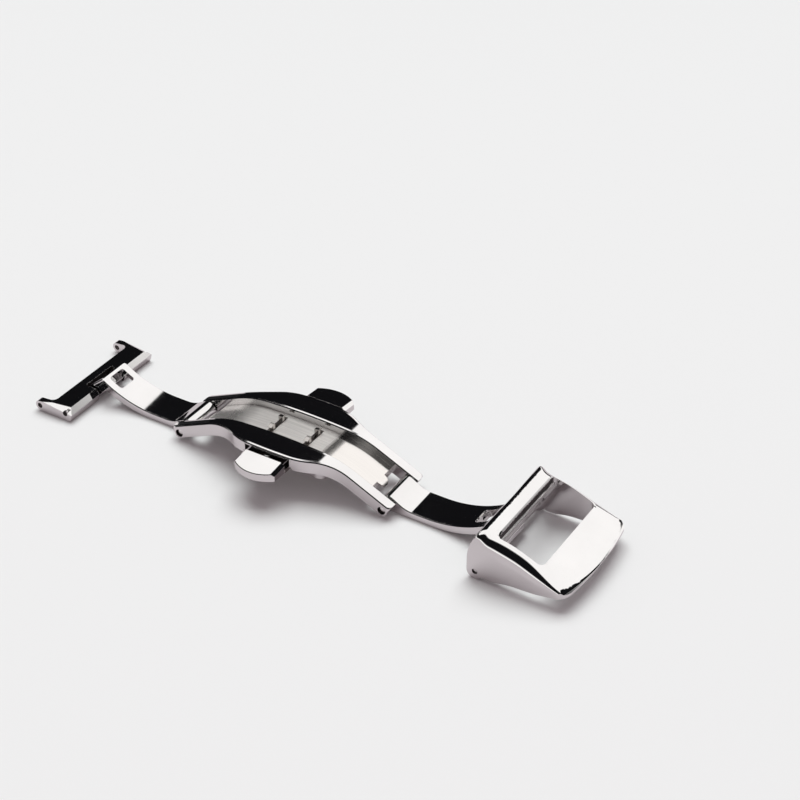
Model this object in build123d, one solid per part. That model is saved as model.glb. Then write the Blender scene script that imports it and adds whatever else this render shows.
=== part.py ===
import os
from math import cos, radians, sin, sqrt, tan

from build123d import *

# Butterfly clasp with two push buttons for a 20 mm strap, stored open as it lies on a table.
# X runs along the clasp from the strap end bar to the buckle, Y across it and Z up from the table.
# The pieces are drawn about the middle of the centre frame and moved to the middle of the whole
# clasp when they are written. Lengths are in millimetres and angles in degrees.

# Layout: every hinge pin lies at one height, which is also the radius that rests on the table
STRAP_WIDTH = 20.0
PIN_HEIGHT = 1.3
BLADE_SPAN = 18.05
CLOSE_ANGLE = 154.5
CLOSED_PIN_X = 1.778
RUN_GAP = 0.03
SEAT_GAP = 0.04
OVERRUN = 4.0
UPPER_FACE_RATIO = 0.5
UPRIGHT_FACE_RATIO = 0.1
HALVINGS = 30

# Centre frame: arched rails, their plan, the lugs at the ends and the floor between the rails
CROWN_REACH = 7.0
CROWN_SLOPE = 3.6
SHOULDER_REACH = 12.7
END_SLOPE = 24.5
RAIL_OVER_PIN = 1.2
LUG_RADIUS = 0.9
RAIL_DEPTH = 2.0
RAIL_TIP_REACH = 1.4
RAIL_TIP_CORNER = 0.7
RAIL_END_HALF_WIDTH = 4.85
BELLY_REACH = 3.4
BELLY_SLOPE = 4.0
WAIST_REACH = 7.0
WAIST_SLOPE = 28.0
WAIST_END = 12.5
RAIL_EDGE_BEVEL = 0.15
CHANNEL_HALF_WIDTH = 3.05
DECK_DEPTH = 1.15
DECK_THICKNESS = 0.45
FLOOR_THICKNESS = 0.45
FLOOR_END_GAP = 3.1

# Mechanism housing under the middle of the frame
HOUSING_LENGTH = 17.0
HOUSING_WIDTH = 10.6
HOUSING_CORNER = 1.6
POCKET_LENGTH = 8.4
POCKET_DEPTH = 1.25
COVER_LENGTH = 14.8
COVER_WIDTH = 9.4
COVER_THICKNESS = 0.5
COVER_CORNER = 1.0
SPRING_WALL_LENGTH = 2.2
SPRING_WALL_THICKNESS = 0.7
RIVET_RADIUS = 0.45
RIVET_LENGTH = 1.2
RIVET_SPACING_X = 11.6
RIVET_SPACING_Y = 6.8

# Deck plate: the brushed plate in the channel, its hook slots and its two spring tongues
TONGUE_WIDTH = 2.0
TONGUE_THICKNESS = 0.25
TONGUE_BEND_RADIUS = 3.0
TONGUE_END_SLOPE = 50.0
SLOT_WIDTH = 0.9
SLOT_LENGTH = 4.6

# Push buttons: the cap, its neck in the rail and the slide with the two hooks
BUTTON_LENGTH = 7.2
BUTTON_INNER_Y = 8.0
BUTTON_END_DEPTH = 2.5
BUTTON_BOW = 1.35
BUTTON_HEIGHT = 1.75
BUTTON_DROP = 0.62
BUTTON_TOP_SLOPE = 6.0
BUTTON_END_BEVEL = 0.5
BUTTON_RIM_BEVEL = 0.1
BUTTON_EDGE_ROUND = 0.15
BUTTON_TRAVEL = 0.7
NECK_LENGTH = 6.4
NECK_HEIGHT = 0.7
NECK_INNER_Y = 6.2
RECESS_LENGTH = 7.8
RECESS_BACK_GAP = 0.1
RECESS_LIP = 0.36
SLIDE_THICKNESS = 0.6
SLIDE_TOP_GAP = 0.14
SLIDE_BAR_INNER_Y = 6.5
ARM_WIDTH = 0.9
HOOK_WIDTH = 0.7
HOOK_INNER_Y = 0.95
HOOK_POST_THICKNESS = 0.5
HOOK_NOSE_REACH = 0.5
HOOK_NOSE_HEIGHT = 0.28
LATCH_GAP = 0.05
LINK_PIN_RADIUS = 0.4
LINK_PIN_HEAD_RADIUS = 0.55
LINK_PIN_HEAD_HEIGHT = 0.16
LINK_PIN_Y = 7.05
RETURN_SPRING_RADIUS = 0.36
RETURN_SPRING_WIRE_RADIUS = 0.08
RETURN_SPRING_TURNS = 6

# Folding blades: the barrel on the frame pin, the swept plate, its window and the outer knuckle
BLADE_WIDTH = 5.7
BLADE_BELLY_DROP = 0.15
BLADE_RAMP = 30.0
BLADE_ROOT_RADIUS = 4.6
BLADE_SWEEP_START = 6.2
BLADE_SWEEP_RADIUS = 18.2
BLADE_UNDER_START = 6.9
BLADE_UNDER_RADIUS = 18.6
BLADE_END_LENGTH = 1.75
BLADE_EDGE_BEVEL = 0.12
BLADE_END_CORNER = 0.5
KNUCKLE_RADIUS = 1.15
WINDOW_FROM_PIN = 2.1
WINDOW_LENGTH = 2.6
WINDOW_WIDTH = 3.2
WINDOW_CORNER = 0.45
WINDOW_POCKET_WIDTH = 4.3
LIP_THICKNESS = 0.25
HOOK_FROM_WINDOW_END = 0.35

# Hinge pins
FRAME_PIN_RADIUS = 0.5
STRAP_PIN_RADIUS = 0.4
PIN_END_SET = 0.22
PIN_HEAD_RADIUS = 0.62
PIN_HEAD_LENGTH = 0.3
PIN_HEAD_ROUND = 0.2

# Strap end bar: the cross bar with two ears that carry the strap's own spring bar
BAR_HEIGHT = 2.1
BAR_INNER_REACH = 1.25
BAR_OUTER_REACH = 2.8
BAR_BEVEL = 0.75
BAR_FOOT_SET = 0.45
BAR_FOOT_HEIGHT = 0.5
EAR_REACH = 5.02
EAR_AXIS_DROP = 0.25
EAR_TIP_RADIUS = 0.82
EAR_WIDTH = 1.05
EAR_FILLET = 0.9
EAR_HOLE_RADIUS = 0.45
END_BEVEL_WIDTH = 1.1
END_BEVEL_HEIGHT = 0.8
NOTCH_WIDTH = 6.3
NOTCH_REACH = 1.45
NOTCH_CORNER = 0.4
GROOVE_WIDTH = 0.45
GROOVE_DEPTH = 0.7
GROOVE_ANGLE = 35.0

# Buckle: a bent shell with a window, side walls and the two cross bars that it carries
BUCKLE_SIDE_SET = 0.6
BUCKLE_HEIGHT = 8.0
BUCKLE_REACH = 14.75
BUCKLE_WALL = 1.0
BUCKLE_PLATE = 1.15
BUCKLE_ROUND_RADIUS = 3.0
BUCKLE_ROUND_LIFT = 0.04
BUCKLE_NOSE_BEVEL = 0.15
BUCKLE_NOSE_BEVEL_BOW = 1.4
BUCKLE_BOW = 0.9
BUCKLE_CORNER = 1.9
BUCKLE_BAR_WIDTH = 3.0
BUCKLE_BAR_SET = 0.2
BUCKLE_BAR_BOW = 0.5
BUCKLE_LOBE_RADIUS = 1.3
BUCKLE_WINDOW_LENGTH = 6.8
BUCKLE_WINDOW_SIDE = 1.45
BUCKLE_WINDOW_CORNER = 0.9
BUCKLE_WINDOW_BAR_CORNER = 0.3
BUCKLE_HOLE_RADIUS = 0.45
# Outline of the side wall, as shares of the reach from the pin and of the height above the table
BUCKLE_TOP_SHARES = [(-0.015, 0.915), (0.003, 0.966), (0.018, 0.988), (0.036, 0.995), (0.09, 0.99),
                     (0.155, 0.98), (0.25, 0.956), (0.43, 0.865), (0.61, 0.70), (0.757, 0.53),
                     (0.86, 0.432), (0.985, 0.362)]
BUCKLE_UNDER_SHARES = [(0.985, 0.30), (0.86, 0.245), (0.745, 0.205), (0.62, 0.168), (0.48, 0.150),
                       (0.35, 0.131), (0.21, 0.075)]
BUCKLE_LOBE_END_SHARE = 0.077
BUCKLE_BACK_SHARES = [(-0.078, 0.58), (-0.022, 0.86)]
# Rounding of the side edges along the buckle: shares of the reach and of the radius
BUCKLE_ROUND_SHARES = [(-0.12, 0.25), (-0.02, 0.3), (-0.008, 0.32), (0.003, 0.35), (0.012, 0.38),
                       (0.022, 0.42), (0.036, 0.5), (0.055, 0.62), (0.09, 0.82), (0.14, 0.94),
                       (0.2, 1.0), (0.28, 1.0), (0.36, 1.0), (0.44, 1.0), (0.52, 0.95), (0.6, 0.84),
                       (0.68, 0.66), (0.757, 0.48), (0.84, 0.34), (0.92, 0.28), (1.05, 0.26)]

# Spring bar that hinges the buckle on the right blade: a tube with a sprung tip at each end
HINGE_BAR_RADIUS = 0.65
BAR_WALL = 0.15
BAR_TIP_RADIUS = 0.4
BAR_TIP_STEM = 1.6
BAR_TIP_TRAVEL = 1.0
BAR_FLANGE_RADIUS = 0.6
BAR_FLANGE_LENGTH = 0.25
HINGE_SPRING_TURNS = 9

# Telescopic spring bar for the strap: a tube fixed in the front wall and a rod that slides in it
STRAP_BAR_FROM_PIN = 2.15
STRAP_BAR_HEIGHT = 5.75
STRAP_BAR_TUBE_RADIUS = 0.82
STRAP_BAR_ROD_GAP = 0.05
STRAP_BAR_OVERLAP = 2.4
STRAP_BAR_END_WALL = 0.7
STRAP_BAR_HOLE_DEPTH = 0.35
STRAP_SPRING_TURNS = 5
BAR_SPRING_WIRE_RADIUS = 0.06

# Folding a blade by the closing angle brings its outer pin near the middle of the frame
BLADE_END_REACH = BLADE_SPAN - BLADE_END_LENGTH
FRAME_PIN_X = CLOSED_PIN_X - BLADE_SPAN * cos(radians(CLOSE_ANGLE))
OUTER_PIN_X = FRAME_PIN_X + BLADE_SPAN
BUCKLE_HALF_WIDTH = STRAP_WIDTH / 2 - BUCKLE_SIDE_SET
PIN_HEAD_INNER_Y = RAIL_END_HALF_WIDTH - PIN_END_SET - PIN_HEAD_LENGTH
EAR_TIP_X = OUTER_PIN_X + EAR_REACH + EAR_TIP_RADIUS
NOSE_X = OUTER_PIN_X + BUCKLE_REACH
MIDDLE_X = (NOSE_X - EAR_TIP_X) / 2


def tangent_run(ends, slopes):
    """Points of arcs that meet tangent to each other: x, drop and slope at each joint and mid-arc."""
    x, drop = ends[0], 0.0
    run = [(x, drop, slopes[0])]
    for x_end, slope_in, slope_out in zip(ends[1:], slopes[:-1], slopes[1:]):
        radius = (x_end - x) / (sin(radians(slope_out)) - sin(radians(slope_in)))
        for slope in ((slope_in + slope_out) / 2, slope_out):
            run.append((x + radius * (sin(radians(slope)) - sin(radians(slope_in))),
                        drop + radius * (cos(radians(slope_in)) - cos(radians(slope))), slope))
        x, drop = run[-1][0], run[-1][1]
    return run


def flip(point):
    return (-point[0], point[1])


def run_edges(half):
    """Edges of a symmetric line from its right half: arcs through mid-points, then a straight end."""
    edges = [ThreePointArc(flip(half[2]), half[0], half[2])]
    for first in range(2, len(half) - 2, 2):
        start, middle, end = half[first], half[first + 1], half[first + 2]
        edges.append(ThreePointArc(start, middle, end))
        edges.append(ThreePointArc(flip(start), flip(middle), flip(end)))
    edges.append(Line(half[-2], half[-1]))
    edges.append(Line(flip(half[-2]), flip(half[-1])))
    return edges


def side(edges):
    """Face in the XZ plane from edges drawn with x along the clasp and y up."""
    return Plane.XZ * make_face(edges)


def across(face, width):
    """A side face made into a solid that is symmetric about the middle of the clasp."""
    return extrude(face, amount=width / 2, both=True)


def block(x_min, x_max, y_min, y_max, z_min, z_max):
    """Box between six planes."""
    box = Box(x_max - x_min, y_max - y_min, z_max - z_min)
    return Pos((x_min + x_max) / 2, (y_min + y_max) / 2, (z_min + z_max) / 2) * box


def cross_rod(x, z, radius, y_min, y_max):
    """Round bar along Y."""
    rod = Rot(90, 0, 0) * Cylinder(radius, y_max - y_min)
    return Pos(x, (y_min + y_max) / 2, z) * rod


def rear_of(piece):
    return mirror(piece, about=Plane.XZ)


def left_of(piece):
    return mirror(piece, about=Plane.YZ)


# Arch of the frame: the rail top, set so that its straight ends pass over the pins at their distance
ARCH = tangent_run([0, CROWN_REACH, SHOULDER_REACH], [0, CROWN_SLOPE, END_SLOPE])
END_RISE = PIN_HEIGHT + RAIL_OVER_PIN / cos(radians(END_SLOPE))
CROWN_Z = END_RISE + (FRAME_PIN_X - SHOULDER_REACH) * tan(radians(END_SLOPE)) + ARCH[-1][1]
RAIL_TOP_END_X = FRAME_PIN_X + RAIL_OVER_PIN * sin(radians(END_SLOPE))
RAIL_TOP_END_Z = PIN_HEIGHT + RAIL_OVER_PIN * cos(radians(END_SLOPE))
DECK_Z = CROWN_Z - DECK_DEPTH
DECK_UNDER_Z = DECK_Z - DECK_THICKNESS
POCKET_FLOOR_Z = DECK_UNDER_Z - POCKET_DEPTH
BASE_Z = POCKET_FLOOR_Z - COVER_THICKNESS
FLOOR_END_X = FRAME_PIN_X - FLOOR_END_GAP


def arch_half(depth):
    """Right half of the arch at a depth below the rail top, measured square to it."""
    points = ARCH + [(RAIL_TOP_END_X, CROWN_Z - RAIL_TOP_END_Z, END_SLOPE)]
    return [(x - depth * sin(radians(s)), CROWN_Z - drop - depth * cos(radians(s)))
            for x, drop, s in points]


def arch_band(top_depth, under_depth):
    """Side face between two depths of the arch, as long as the rails."""
    top, under = arch_half(top_depth), arch_half(under_depth)
    closing = [Line(top[-1], under[-1]), Line(flip(top[-1]), flip(under[-1]))]
    return side(run_edges(top) + run_edges(under) + closing)


def end_line_z(x, depth):
    """Height of the straight end of the arch at x and at a depth below the rail top."""
    return END_RISE + (FRAME_PIN_X - x) * tan(radians(END_SLOPE)) - depth / cos(radians(END_SLOPE))


def blade_top(reach):
    """Height of the blade's upper face above the pin line at a distance from the frame pin."""
    run = max(reach - BLADE_SWEEP_START, 0)
    return BLADE_SWEEP_RADIUS - sqrt(BLADE_SWEEP_RADIUS**2 - run**2) - BLADE_BELLY_DROP


def closed_place(reach, rise):
    """Where a point of the open right blade lies once the blade is folded shut."""
    turn = radians(CLOSE_ANGLE)
    return (FRAME_PIN_X + reach * cos(turn) - rise * sin(turn),
            PIN_HEIGHT + reach * sin(turn) + rise * cos(turn))


# The hooks stand where the closed blade brings its window
WINDOW_END = BLADE_SPAN - WINDOW_FROM_PIN
WINDOW_MIDDLE = WINDOW_END - WINDOW_LENGTH / 2
WINDOW_END_X = closed_place(WINDOW_END, blade_top(WINDOW_END))[0]
HOOK_X = WINDOW_END_X + HOOK_FROM_WINDOW_END + HOOK_WIDTH / 2
LIP_TOP_Z = closed_place(WINDOW_MIDDLE, blade_top(WINDOW_MIDDLE))[1] + LIP_THICKNESS


def rail_plan():
    """Plan of the rear rail: bowed outer edge, straight inner edge, rounded ends."""
    run = tangent_run([0, BELLY_REACH, WAIST_REACH, WAIST_END], [0, BELLY_SLOPE, WAIST_SLOPE, 0])
    widest = RAIL_END_HALF_WIDTH + run[-1][1]
    tip = FRAME_PIN_X + RAIL_TIP_REACH
    outer = [(x, widest - drop) for x, drop, slope in run] + [(tip, RAIL_END_HALF_WIDTH)]
    inner = (tip, CHANNEL_HALF_WIDTH)
    edges = run_edges(outer) + [Line(outer[-1], inner), Line(inner, flip(inner)),
                                Line(flip(inner), flip(outer[-1]))]
    plan = make_face(edges)
    corners = plan.vertices().filter_by(lambda v: abs(v.X) > FRAME_PIN_X and v.Y > CHANNEL_HALF_WIDTH
                                        + RAIL_TIP_CORNER)
    return fillet(corners, RAIL_TIP_CORNER)


def rim_edges(piece):
    """Edges where the upper faces of a piece meet its upright ones."""
    upper = piece.faces().filter_by(lambda f: f.normal_at().Z > UPPER_FACE_RATIO)
    upright = piece.faces().filter_by(lambda f: abs(f.normal_at().Z) < UPRIGHT_FACE_RATIO)
    return [edge for edge in upper.edges() if any(edge.is_same(other) for other in upright.edges())]


def rail_side():
    """Side face of a rail with the round lug and the short beak at each end."""
    top_end = (RAIL_TOP_END_X, RAIL_TOP_END_Z)
    beak_x = FRAME_PIN_X + RAIL_TIP_REACH
    beak_z = end_line_z(beak_x, 0)
    axis, nose = (FRAME_PIN_X, PIN_HEIGHT), (FRAME_PIN_X + LUG_RADIUS, PIN_HEIGHT)
    corners = [axis, top_end, (beak_x, beak_z), nose]
    beak = make_face([Line(a, b) for a, b in zip(corners, corners[1:] + corners[:1])])
    lug = Pos(FRAME_PIN_X, PIN_HEIGHT) * Circle(LUG_RADIUS)
    end = Plane.XZ * (lug + beak)
    return arch_band(0, RAIL_DEPTH) + end + left_of(end)


def centre_frame():
    """Arched frame: two rails, the floor that joins them and the housing of the buttons."""
    width = 4 * CHANNEL_HALF_WIDTH + 2 * RAIL_END_HALF_WIDTH
    rear = across(rail_side(), width) & extrude(rail_plan(), amount=CROWN_Z + OVERRUN)
    rear = chamfer(rim_edges(rear), RAIL_EDGE_BEVEL)
    floor_depth = DECK_DEPTH + DECK_THICKNESS
    floor = across(arch_band(floor_depth, floor_depth + FLOOR_THICKNESS), 2 * CHANNEL_HALF_WIDTH)
    floor &= block(-FLOOR_END_X, FLOOR_END_X, -OVERRUN, OVERRUN, 0, CROWN_Z)
    housing = across(arch_band(floor_depth, CROWN_Z - BASE_Z), HOUSING_WIDTH)
    housing_plan = extrude(RectangleRounded(HOUSING_LENGTH, HOUSING_WIDTH, HOUSING_CORNER), CROWN_Z)
    frame = rear + rear_of(rear) + floor + (housing & housing_plan)
    half_pocket = POCKET_LENGTH / 2
    frame -= block(-half_pocket, half_pocket, -BUTTON_INNER_Y, BUTTON_INNER_Y,
                   BASE_Z - OVERRUN, DECK_UNDER_Z)
    frame -= extrude(RectangleRounded(COVER_LENGTH + 2 * SEAT_GAP, COVER_WIDTH + 2 * SEAT_GAP,
                                      COVER_CORNER), POCKET_FLOOR_Z)
    recess_half, recess_back = RECESS_LENGTH / 2, NECK_INNER_Y - BUTTON_TRAVEL - RECESS_BACK_GAP
    recess = block(-recess_half, recess_half, recess_back, BUTTON_INNER_Y, 0, CROWN_Z - RECESS_LIP)
    frame -= recess + rear_of(recess)
    for place in rivet_places():
        frame -= place * Cylinder(RIVET_RADIUS + RUN_GAP, 2 * RIVET_LENGTH)
    seat = PIN_HEAD_INNER_Y - SEAT_GAP
    for x in (-FRAME_PIN_X, FRAME_PIN_X):
        frame -= cross_rod(x, PIN_HEIGHT, FRAME_PIN_RADIUS + RUN_GAP, -STRAP_WIDTH, STRAP_WIDTH)
        head_seat = cross_rod(x, PIN_HEIGHT, PIN_HEAD_RADIUS + RUN_GAP, seat, STRAP_WIDTH)
        frame -= head_seat + rear_of(head_seat)
    return frame


def rivet_places():
    return [Pos(x, y, BASE_Z) for x, y in
            [(sx * RIVET_SPACING_X / 2, sy * RIVET_SPACING_Y / 2) for sx in (-1, 1) for sy in (-1, 1)]]


def deck_plate():
    """Brushed plate on the frame's floor, with a slot for each pair of hooks and two end tongues."""
    plate = across(arch_band(DECK_DEPTH, DECK_DEPTH + DECK_THICKNESS),
                   2 * (CHANNEL_HALF_WIDTH - SEAT_GAP))
    plate &= block(-FLOOR_END_X, FLOOR_END_X, -OVERRUN, OVERRUN, 0, CROWN_Z)
    for x in (-HOOK_X, HOOK_X):
        plate -= block(x - SLOT_WIDTH / 2, x + SLOT_WIDTH / 2, -SLOT_LENGTH / 2, SLOT_LENGTH / 2,
                       0, CROWN_Z)
    tongue = deck_tongue()
    return plate + tongue + left_of(tongue)


def deck_tongue():
    """Spring tongue that bends down from the end of the deck and has a rounded tip."""
    top = tangent_arc((FLOOR_END_X, end_line_z(FLOOR_END_X, DECK_DEPTH)), TONGUE_BEND_RADIUS)
    under_z = end_line_z(FLOOR_END_X, DECK_DEPTH + TONGUE_THICKNESS)
    under = tangent_arc((FLOOR_END_X, under_z), TONGUE_BEND_RADIUS - TONGUE_THICKNESS)
    face = side([ThreePointArc(*top), Line(top[-1], under[-1]), ThreePointArc(*reversed(under)),
                 Line(under[0], top[0])])
    length = top[-1][0] - FLOOR_END_X
    plan = Pos(FLOOR_END_X + length / 2, 0) * Rectangle(length, TONGUE_WIDTH)
    tips = plan.vertices().sort_by(Axis.X)[-2:]
    return across(face, TONGUE_WIDTH) & extrude(fillet(tips, TONGUE_WIDTH / 2 - SEAT_GAP), CROWN_Z)


def tangent_arc(start, radius):
    """Start, middle and end of the tongue's bend, from the slope of the deck to that of its tip."""
    points = []
    for slope in (END_SLOPE, (END_SLOPE + TONGUE_END_SLOPE) / 2, TONGUE_END_SLOPE):
        points.append((start[0] + radius * (sin(radians(slope)) - sin(radians(END_SLOPE))),
                       start[1] - radius * (cos(radians(END_SLOPE)) - cos(radians(slope)))))
    return points


def base_cover():
    """Cover under the housing, with the wall that the two return springs push against."""
    cover = extrude(RectangleRounded(COVER_LENGTH, COVER_WIDTH, COVER_CORNER), COVER_THICKNESS)
    cover = Pos(0, 0, BASE_Z) * cover
    cover += block(-SPRING_WALL_LENGTH / 2, SPRING_WALL_LENGTH / 2, -SPRING_WALL_THICKNESS / 2,
                   SPRING_WALL_THICKNESS / 2, BASE_Z, DECK_UNDER_Z - SLIDE_TOP_GAP)
    for place in rivet_places():
        cover -= place * Cylinder(RIVET_RADIUS + RUN_GAP, 2 * RIVET_LENGTH)
    return cover


def cover_rivets():
    """Four rivets that hold the cover to the housing."""
    rivet = Pos(0, 0, RIVET_LENGTH / 2) * Cylinder(RIVET_RADIUS, RIVET_LENGTH)
    return [place * rivet for place in rivet_places()]


BUTTON_TOP_Z = CROWN_Z - BUTTON_DROP
SLIDE_TOP_Z = DECK_UNDER_Z - SLIDE_TOP_GAP
SLIDE_UNDER_Z = SLIDE_TOP_Z - SLIDE_THICKNESS


def button_cap():
    """Front push button: a bowed cap with bevelled ends, and the neck that enters the rail."""
    half = BUTTON_LENGTH / 2
    end_y = BUTTON_INNER_Y + BUTTON_END_DEPTH
    outer = ThreePointArc((-half, -end_y), (0, -end_y - BUTTON_BOW), (half, -end_y))
    plan = make_face([outer, Line((half, -end_y), (half, -BUTTON_INNER_Y)),
                      Line((half, -BUTTON_INNER_Y), (-half, -BUTTON_INNER_Y)),
                      Line((-half, -BUTTON_INNER_Y), (-half, -end_y))])
    cap = Pos(0, 0, BUTTON_TOP_Z - BUTTON_HEIGHT) * extrude(plan, BUTTON_HEIGHT)
    above = block(-BUTTON_LENGTH, BUTTON_LENGTH, -STRAP_WIDTH, 0, 0, BUTTON_HEIGHT)
    cap -= Pos(0, -BUTTON_INNER_Y, BUTTON_TOP_Z) * Rot(BUTTON_TOP_SLOPE, 0, 0) * above
    cap = chamfer(cap.faces().sort_by(Axis.Z)[-1].edges().sort_by(Axis.X)[::3], BUTTON_END_BEVEL)
    cap = chamfer(cap.faces().sort_by(Axis.Z)[-1].edges().sort_by(Axis.Y)[0], BUTTON_RIM_BEVEL)
    under_edges = cap.edges().group_by(Axis.Z)[0]
    cap = fillet(under_edges.sort_by(Axis.Y)[:-1], BUTTON_EDGE_ROUND)
    neck = block(-NECK_LENGTH / 2, NECK_LENGTH / 2, -BUTTON_INNER_Y, -NECK_INNER_Y,
                 SLIDE_TOP_Z, SLIDE_TOP_Z + NECK_HEIGHT)
    button = cap + neck
    return button - Pos(0, -LINK_PIN_Y, SLIDE_TOP_Z) * Cylinder(LINK_PIN_RADIUS + RUN_GAP, OVERRUN)


def hook_slide():
    """Front slide under the deck: a cross bar pinned to the neck and two arms that end in hooks."""
    outer = HOOK_X + ARM_WIDTH / 2
    slide = block(-outer, outer, -BUTTON_INNER_Y, -SLIDE_BAR_INNER_Y, SLIDE_UNDER_Z, SLIDE_TOP_Z)
    for x in (-HOOK_X, HOOK_X):
        slide += block(x - ARM_WIDTH / 2, x + ARM_WIDTH / 2, -SLIDE_BAR_INNER_Y, -HOOK_INNER_Y,
                       SLIDE_UNDER_Z, SLIDE_TOP_Z)
        slide += Pos(x, 0, 0) * hook()
    return slide - Pos(0, -LINK_PIN_Y, SLIDE_TOP_Z) * Cylinder(LINK_PIN_RADIUS + RUN_GAP, OVERRUN)


def hook():
    """Hook with a sloped nose that points outwards, over the edge of the blade's window."""
    back, front = -HOOK_INNER_Y, -HOOK_INNER_Y - HOOK_POST_THICKNESS
    nose_z = LIP_TOP_Z + LATCH_GAP
    nose = front - HOOK_NOSE_REACH
    corners = [(back, SLIDE_UNDER_Z), (front, SLIDE_UNDER_Z), (front, nose_z), (nose, nose_z),
               (nose, nose_z + LATCH_GAP), (front, nose_z + HOOK_NOSE_HEIGHT),
               (back, nose_z + HOOK_NOSE_HEIGHT)]
    outline = make_face([Line(a, b) for a, b in zip(corners, corners[1:] + corners[:1])])
    return extrude(Plane.YZ * outline, amount=HOOK_WIDTH / 2, both=True)


def link_pin():
    """Headed pin that ties the front button's neck to its slide."""
    top = SLIDE_TOP_Z + NECK_HEIGHT
    stem = Pos(0, 0, (SLIDE_UNDER_Z + top) / 2) * Cylinder(LINK_PIN_RADIUS, top - SLIDE_UNDER_Z)
    head = Pos(0, 0, top + LINK_PIN_HEAD_HEIGHT / 2) * Cylinder(LINK_PIN_HEAD_RADIUS,
                                                              LINK_PIN_HEAD_HEIGHT)
    head = fillet(head.edges().group_by(Axis.Z)[-1], LINK_PIN_HEAD_HEIGHT / 2)
    return Pos(0, -LINK_PIN_Y, 0) * (stem + head)


def coil(radius, wire_radius, turns, length):
    """Coil spring along Z from zero to its length, as one swept wire."""
    rise = length - 2 * wire_radius
    path = Helix(rise / turns, rise, radius)
    section = Plane(origin=path @ 0, z_dir=path % 0) * Circle(wire_radius)
    return Pos(0, 0, wire_radius) * sweep(section, path=path)


def return_spring():
    """Spring between the cover's wall and the front slide."""
    length = SLIDE_BAR_INNER_Y - SPRING_WALL_THICKNESS / 2 - 2 * SEAT_GAP
    spring = coil(RETURN_SPRING_RADIUS, RETURN_SPRING_WIRE_RADIUS, RETURN_SPRING_TURNS, length)
    middle_z = (SLIDE_TOP_Z + SLIDE_UNDER_Z) / 2
    return Pos(0, -SPRING_WALL_THICKNESS / 2 - SEAT_GAP, middle_z) * Rot(90, 0, 0) * spring


def frame_pin():
    """Right hinge pin of the frame, with a rounded head sunk in each lug."""
    end = PIN_HEAD_INNER_Y + PIN_HEAD_LENGTH
    head = cross_rod(FRAME_PIN_X, PIN_HEIGHT, PIN_HEAD_RADIUS, PIN_HEAD_INNER_Y, end)
    head = fillet(head.edges().group_by(Axis.Y)[-1], PIN_HEAD_ROUND)
    return cross_rod(FRAME_PIN_X, PIN_HEIGHT, FRAME_PIN_RADIUS, -end, end) + head + rear_of(head)


def blade_face():
    """Side face of the right blade, drawn from the frame pin along the line of the pins."""
    ramp = radians(BLADE_RAMP)
    top_z, under_z = -BLADE_BELLY_DROP, -PIN_HEIGHT
    start = (PIN_HEIGHT * sin(ramp), PIN_HEIGHT * cos(ramp))
    foot = start[0] + (start[1] - top_z) / tan(ramp)
    trim = BLADE_ROOT_RADIUS * tan(ramp / 2)
    bend_in = (foot - trim * cos(ramp), top_z + trim * sin(ramp))
    bend_out = (foot + trim, top_z)
    bend_mid = (bend_out[0] - BLADE_ROOT_RADIUS * sin(ramp / 2),
                top_z + BLADE_ROOT_RADIUS * (1 - cos(ramp / 2)))
    top = [(BLADE_SWEEP_START, top_z), (middle(BLADE_SWEEP_START, BLADE_END_REACH),),
           (BLADE_END_REACH, blade_top(BLADE_END_REACH))]
    top[1] = (top[1][0], blade_top(top[1][0]))
    under_end = BLADE_SPAN - 2 * KNUCKLE_RADIUS
    under = [(x, blade_under(x)) for x in
             (under_end, middle(BLADE_UNDER_START, under_end), BLADE_UNDER_START)]
    knuckle_top = (BLADE_SPAN + KNUCKLE_RADIUS * sin(ramp), KNUCKLE_RADIUS * cos(ramp))
    knuckle_under = (BLADE_SPAN, -KNUCKLE_RADIUS)
    plate = make_face([
        Line((0, 0), start), Line(start, bend_in), ThreePointArc(bend_in, bend_mid, bend_out),
        Line(bend_out, top[0]), ThreePointArc(*top), Line(top[-1], knuckle_top),
        Line(knuckle_top, (BLADE_SPAN, 0)), Line((BLADE_SPAN, 0), knuckle_under),
        Line(knuckle_under, under[0]), ThreePointArc(*under), Line(under[-1], (0, under_z)),
        Line((0, under_z), (0, 0))])
    barrel = Circle(PIN_HEIGHT)
    knuckle = Pos(BLADE_SPAN, 0) * Circle(KNUCKLE_RADIUS)
    return Plane.XZ * (Pos(FRAME_PIN_X, PIN_HEIGHT) * (plate + barrel + knuckle))


def middle(a, b):
    return (a + b) / 2


def blade_under(reach):
    """Height of the blade's lower face above the pin line."""
    run = max(reach - BLADE_UNDER_START, 0)
    return BLADE_UNDER_RADIUS - sqrt(BLADE_UNDER_RADIUS**2 - run**2) - PIN_HEIGHT


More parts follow.
